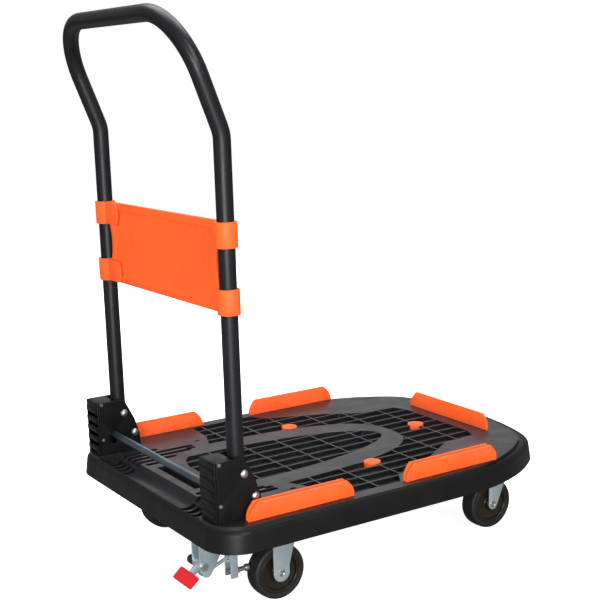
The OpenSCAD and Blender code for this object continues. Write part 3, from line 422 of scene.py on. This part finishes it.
# Deck
# One black moulding: a smooth horseshoe band and border between fields of thin ribs, with a
# trough across the handle end. Its mesh is the node's own, and its edges are softened in the finish.
deck_black = finish("deck_plastic", (0.009, 0.009, 0.011), (0.34, 0.46), 1100, 0.04,
                    edge=(0.03, 0.03, 0.034), shine=0.5)
dress(deck_black, "deck")

# Bumper
# A black elastomer strip round the whole deck, its side leaning in a little to a rounded
# shoulder, wider on top round the front.
bumper_black = finish("bumper_elastomer", (0.006, 0.0056, 0.006), (0.34, 0.46), 1300, 0.03,
                      edge=(0.012, 0.012, 0.012), shine=0.22)
bumper_low, bumper_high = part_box("bumper")
half_w = bumper_high.y
rear_x, front_x = bumper_low.x, bumper_high.x
bumper_h = bumper_high.z - bumper_low.z
side_lean, side_h = 4 * MM, 29 * MM
nose_extra = 18 * MM
corner_r, flank_r, shoulder_r = 65 * MM, 350 * MM, 105 * MM
shoulder_from, flank_from = 18, 50
flank_sin, flank_cos = math.sin(math.radians(flank_from)), math.cos(math.radians(flank_from))
shoulder_y = half_w - flank_r + (flank_r - shoulder_r) * flank_sin
nose_r = shoulder_r + shoulder_y / math.sin(math.radians(shoulder_from))
flank_x = (front_x - nose_r + (nose_r - shoulder_r) * math.cos(math.radians(shoulder_from))
           - (flank_r - shoulder_r) * flank_cos)
shoulder_x = flank_x + (flank_r - shoulder_r) * flank_cos
nose_x = front_x - nose_r
half = arc((nose_x, 0), nose_r, 0, shoulder_from, 12)
half += arc((shoulder_x, shoulder_y), shoulder_r, shoulder_from, flank_from, 12)[1:]
half += arc((flank_x, half_w - flank_r), flank_r, flank_from, 90, 24)[1:]
half += arc((rear_x + corner_r, half_w - corner_r), corner_r, 90, 180, 20)
edge_points = half + [(x, -y) for x, y in reversed(half[1:])]
builder = bmesh.new()
top = face_of(builder, edge_points, lambda x, y: (x, y, bumper_low.z))
if top.normal.z < 0:
    top.normal_flip()
builder.normal_update()
shoulder = [(0.6 * MM, 2.6 * MM), (1.2 * MM, 2.4 * MM), (1.7 * MM, 2.2 * MM), (1.5 * MM, 1.4 * MM),
            (1.0 * MM, 0.4 * MM)]
for inward, up in [(side_lean, side_h)] + shoulder:
    bmesh.ops.inset_region(builder, faces=[top], thickness=inward, depth=up, use_even_offset=True,
                           use_boundary=True)


def slide_front(face, shift):
    """Moves the face's corners ahead of the flanks along X."""
    for vert in face.verts:
        if vert.co.x > flank_x - 1 * MM:
            vert.co.x += shift


def sink(middle, depth):
    """Steps the ring's open middle down by depth, leaves a wall round it, and returns the new middle."""
    grown = bmesh.ops.extrude_face_region(builder, geom=[middle])
    bmesh.ops.translate(builder, vec=(0, 0, -depth),
                        verts=[g for g in grown["geom"] if isinstance(g, bmesh.types.BMVert)])
    if middle.is_valid:
        bmesh.ops.delete(builder, geom=[middle], context="FACES_ONLY")
    return next(g for g in grown["geom"] if isinstance(g, bmesh.types.BMFace))


# The inside is sunk in two steps, because the top is wider round the front than the wall below it
top = sink(top, 0)
slide_front(top, -nose_extra)
top = sink(top, bumper_h - side_h)
top = sink(top, 0)
slide_front(top, nose_extra)
top = sink(top, side_h)
bmesh.ops.delete(builder, geom=[top], context="FACES_ONLY")
bmesh.ops.bridge_loops(builder, edges=[e for e in builder.edges if e.is_boundary])
bmesh.ops.remove_doubles(builder, verts=builder.verts, dist=0.01 * MM)
bmesh.ops.recalc_face_normals(builder, faces=builder.faces)
bumper = smooth(piece_from("bumper_strip", builder, bumper_black), 50)
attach(bumper, "root")
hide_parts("bumper")

# Cargo guides
# Five orange mouldings that stand up round the deck's edge and lean out a little,
# finely ribbed up and down on both faces, with their upper corners swept.
guide_cut = 17 * MM
guide_t = 5 * MM
guide_lean = math.radians(8)
guide_inset = 29 * MM
guide_rib_pitch = 4.6 * MM


def cargo_guide(name, node, length, turn, foot):
    """turn is the guide's heading about +Z; foot is the middle of its inner foot on the deck."""
    low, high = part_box(node)
    height = (high.z - low.z) / math.cos(guide_lean)
    end = [(0, 0), (1, height / MM - 22), (5, height / MM - 13), (guide_cut / MM - 3, height / MM - 2.5),
           (guide_cut / MM, height / MM)]
    points = [(length / 2 - x * MM, z * MM) for x, z in end]
    points += [(-x, z) for x, z in reversed(points)]
    builder = bmesh.new()
    inner = face_of(builder, points, lambda x, z: (x, 0, z))
    thicken(builder, inner, (0, guide_t, 0))
    sharp = [e for e in builder.edges if e.calc_face_angle(0) > math.radians(30)]
    round_edges(builder, sharp, 0.9 * MM, 2)

    # Both faces are cut in strips, and every other strip is raised a little as a rib
    steps = int(length / guide_rib_pitch) * 2
    for i in range(1, steps):
        bmesh.ops.bisect_plane(builder, geom=builder.verts[:] + builder.edges[:] + builder.faces[:],
                               plane_co=(-length / 2 + length * i / steps, 0, 0), plane_no=(1, 0, 0))
    strips = []
    for face in builder.faces:
        middle = face.calc_center_median()
        column = int((middle.x + length / 2) / (length / steps))
        if abs(face.normal.y) > 0.99 and column % 2 and abs(middle.x) < length / 2 - guide_cut:
            strips.append(face)
    bmesh.ops.inset_individual(builder, faces=strips, thickness=0.45 * MM, depth=0.35 * MM)
    for angle, axis in ((-guide_lean, "X"), (turn, "Z")):
        bmesh.ops.rotate(builder, verts=builder.verts, cent=(0, 0, 0), matrix=Matrix.Rotation(angle, 3, axis))
    if foot.y < 0:
        bmesh.ops.mirror(builder, geom=builder.verts[:] + builder.edges[:] + builder.faces[:], axis="Y")
    bmesh.ops.translate(builder, verts=builder.verts, vec=foot)
    bmesh.ops.recalc_face_normals(builder, faces=builder.faces)
    guide = smooth(piece_from(name, builder, orange), 30)
    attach(guide, "root")
    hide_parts(node)


for place in ("rear", "front"):
    for side, hand in ((1, "left"), (-1, "right")):
        low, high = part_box(f"side_guide_{place}_{hand}")
        cargo_guide(f"guide_{place}_{hand}", f"side_guide_{place}_{hand}", high.x - low.x, 0,
                    Vector(((low.x + high.x) / 2, side * (half_w - guide_inset), low.z)))
low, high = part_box("nose_guide")
cargo_guide("guide_nose", "nose_guide", high.y - low.y, -math.pi / 2, Vector((low.x, 0, low.z)))

# Deck plugs
# Three round orange caps, moulded in plastic and pressed into holes in the deck. Each has a
# rounded rim and a dimple in its middle.
low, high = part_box("deck_plugs")
plug_r = 16 * MM
plug_bottom, plug_top = low.z, high.z
plug_places = [(high.x - plug_r, 0), (low.x + plug_r, low.y + plug_r), (low.x + plug_r, high.y - plug_r)]
builder = bmesh.new()
for x, y in plug_places:
    section = [(0, plug_bottom), (plug_r, plug_bottom), (plug_r, plug_top - 1.2 * MM),
               (plug_r - 0.5 * MM, plug_top - 0.5 * MM), (plug_r - 1.8 * MM, plug_top - 0.1 * MM),
               (plug_r - 3 * MM, plug_top), (4.5 * MM, plug_top), (3.4 * MM, plug_top - 0.6 * MM),
               (1.6 * MM, plug_top - 1.1 * MM), (0, plug_top - 1.2 * MM)]
    line = [builder.verts.new((x + r, y, z)) for r, z in section]
    rungs = [builder.edges.new(pair) for pair in zip(line, line[1:])]
    bmesh.ops.spin(builder, geom=line + rungs, cent=(x, y, 0), axis=(0, 0, 1), angle=math.tau, steps=40,
                   use_merge=True)
bmesh.ops.remove_doubles(builder, verts=builder.verts, dist=0.01 * MM)
bmesh.ops.recalc_face_normals(builder, faces=builder.faces)
plugs = smooth(piece_from("plugs", builder, orange))
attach(plugs, "root")
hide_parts("deck_plugs")

# Wheels
# Each is a black nylon core, dished on both faces round its bearing boss, with a solid
# elastomer tyre moulded on; the tyre has a crowned tread and a grooved side.
tyre_black = finish("tyre_elastomer", (0.012, 0.012, 0.013), (0.44, 0.58), 700, 0.05,
                    edge=(0.04, 0.04, 0.042), shine=0.4)
hub_black = finish("hub_nylon", (0.014, 0.011, 0.006), (0.22, 0.34), 900, 0.03, shine=0.36)
tyre_half = [(38, 0), (38, 15.2), (38.6, 16.4), (39.4, 16.4), (39.8, 15.2), (41.4, 15.2), (41.9, 16.6),
             (43, 17), (45.4, 16.9), (47.2, 16.2), (48.6, 14.8), (49.3, 12.6), (49.75, 8), (49.95, 4),
             (50, 1)]
hub_half = [(6.2, 0), (6.2, 18.2), (6.6, 18.5), (11.4, 18.5), (12, 18), (12.2, 11.4), (13.4, 10.4),
            (29.5, 10.4), (31.4, 11), (33.2, 15.9), (34, 16.6), (37.6, 16.6), (38, 16.2)]


def wheel_part(name, section_half, axle, material, body, node):
    """section_half gives the radius and the distance from the wheel's middle plane, in mm."""
    builder = bmesh.new()
    points = section_half + [(r, -w) for r, w in reversed(section_half) if w > 0]
    line = [builder.verts.new((axle.x, axle.y + w * MM, axle.z + r * MM)) for r, w in points]
    rungs = [builder.edges.new((line[i], line[(i + 1) % len(line)])) for i in range(len(line))]
    bmesh.ops.spin(builder, geom=line + rungs, cent=axle, axis=(0, 1, 0), angle=math.tau, steps=72,
                   use_merge=True)
    bmesh.ops.recalc_face_normals(builder, faces=builder.faces)
    piece = smooth(piece_from(name, builder, material), 28)
    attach(piece, body)
    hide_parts(node)


for place in ("rear", "front"):
    for hand in ("left", "right"):
        low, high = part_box(f"{place}_tyre_{hand}")
        axle = (low + high) / 2
        wheel_part(f"tyre_{place}_{hand}", tyre_half, axle, tyre_black, f"wheel_{place}_{hand}",
                   f"{place}_tyre_{hand}")
        wheel_part(f"core_{place}_{hand}", hub_half, axle, hub_black, f"wheel_{place}_{hand}",
                   f"{place}_hub_{hand}")

# Wheel axles
# A plated bolt through the fork's legs and the bearing sleeve: its outer end is a low cone
# with a drilled middle, its inner end takes a hex nut.
low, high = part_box("front_axle_left")
wheel_low, wheel_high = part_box("front_tyre_left")
axle_head, axle_nut, axle_r, head_r = 2.5 * MM, 5 * MM, 4 * MM, 6.5 * MM
leg_out = high.y - axle_head - (wheel_low.y + wheel_high.y) / 2
axle_tip = leg_out + axle_nut + 1 * MM
axle_section = [(0, -axle_tip), (axle_r - 0.6 * MM, -axle_tip), (axle_r, -axle_tip + 0.6 * MM),
                (axle_r, leg_out), (head_r, leg_out), (head_r, leg_out + 0.5 * MM),
                (5.2 * MM, leg_out + axle_head), (4.0 * MM, leg_out + axle_head),
                (3.2 * MM, leg_out + 1.9 * MM), (2.8 * MM, leg_out + 0.4 * MM), (0, leg_out)]


def add_axle(builder, wheel, side):
    """Adds the bolt and nut of one wheel; side is the way that the bolt's head faces along Y."""
    low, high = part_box(wheel)
    axle = (low + high) / 2
    line = [builder.verts.new((axle.x, axle.y + side * w, axle.z + r)) for r, w in axle_section]
    rungs = [builder.edges.new(pair) for pair in zip(line, line[1:])]
    bmesh.ops.spin(builder, geom=line + rungs, cent=axle, axis=(0, 1, 0), angle=math.tau, steps=36,
                   use_merge=True)
    nut_at = Matrix.Translation((axle.x, axle.y - side * (leg_out + axle_nut / 2), axle.z))
    nut = bmesh.ops.create_cone(builder, cap_ends=True, segments=6, radius1=7 * MM, radius2=7 * MM,
                                depth=axle_nut, matrix=nut_at @ Matrix.Rotation(math.pi / 2, 4, "X"))
    round_edges(builder, list({e for v in nut["verts"] for e in v.link_edges}), 0.6 * MM, 2)


def fit_axles(builder, name, body, node):
    bmesh.ops.remove_doubles(builder, verts=builder.verts, dist=0.001 * MM)
    bmesh.ops.recalc_face_normals(builder, faces=builder.faces)
    bolts = smooth(piece_from(name, builder, bright))
    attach(bolts, body)
    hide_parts(node)


builder = bmesh.new()
add_axle(builder, "rear_tyre_left", 1)
add_axle(builder, "rear_tyre_right", -1)
fit_axles(builder, "axles_rear", "root", "rear_axles")
for side, hand in ((1, "left"), (-1, "right")):
    builder = bmesh.new()
    add_axle(builder, f"front_tyre_{hand}", side)
    fit_axles(builder, f"axle_front_{hand}", f"swivel_{hand}", f"front_axle_{hand}")

# Foot pedal pad
# A bright red moulding on the end of the brake's lever, its corners and edges rounded,
# with nine cross ribs for the sole to grip.
red = finish("pedal_plastic", (0.50, 0.008, 0.014), (0.30, 0.42), 900, 0.03, mottle=0.06,
             edge=(0.8, 0.05, 0.05), shine=0.3)
pad_low, pad_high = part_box("pedal_pad")
pad_slope = math.radians(40)
pad_size = (24 * MM, pad_high.y - pad_low.y, 6 * MM)
pad_rib_pitch = 5.6 * MM
pad_rib = (pad_size[0] - 7 * MM, 1.8 * MM, 1.2 * MM)
builder = bmesh.new()
bmesh.ops.create_cube(builder, size=1, matrix=Matrix.Diagonal((*pad_size, 1)))
uprights = [e for e in builder.edges if abs((e.verts[0].co - e.verts[1].co).z) > 1 * MM]
round_edges(builder, uprights, 4 * MM, 5)
flats = [e for e in builder.edges if e.calc_face_angle(0) > math.radians(50)]
round_edges(builder, flats, 0.9 * MM, 2)
for i in range(-4, 5):
    rib_at = Matrix.Translation((0, i * pad_rib_pitch, pad_size[2] / 2))
    rib = bmesh.ops.create_cube(builder, size=1, matrix=rib_at @ Matrix.Diagonal((*pad_rib, 1)))
    rib_edges = list({e for v in rib["verts"] for e in v.link_edges})
    round_edges(builder, rib_edges, 0.4 * MM, 2)
bmesh.ops.rotate(builder, verts=builder.verts, cent=(0, 0, 0), matrix=Matrix.Rotation(-pad_slope, 3, "Y"))
bmesh.ops.translate(builder, verts=builder.verts, vec=(pad_low + pad_high) / 2)
pad = smooth(piece_from("pad", builder, red))
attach(pad, "brake_pedal")
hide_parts("pedal_pad")

# Pin cap
# A black rubber cap pushed over the free end of the pin that the pedal turns on. Its mesh is
# the node's own.
rubber_black = finish("cap_rubber", (0.02, 0.02, 0.02), (0.5, 0.65), 1200, 0.04)
dress(rubber_black, "brake_pin_cap")
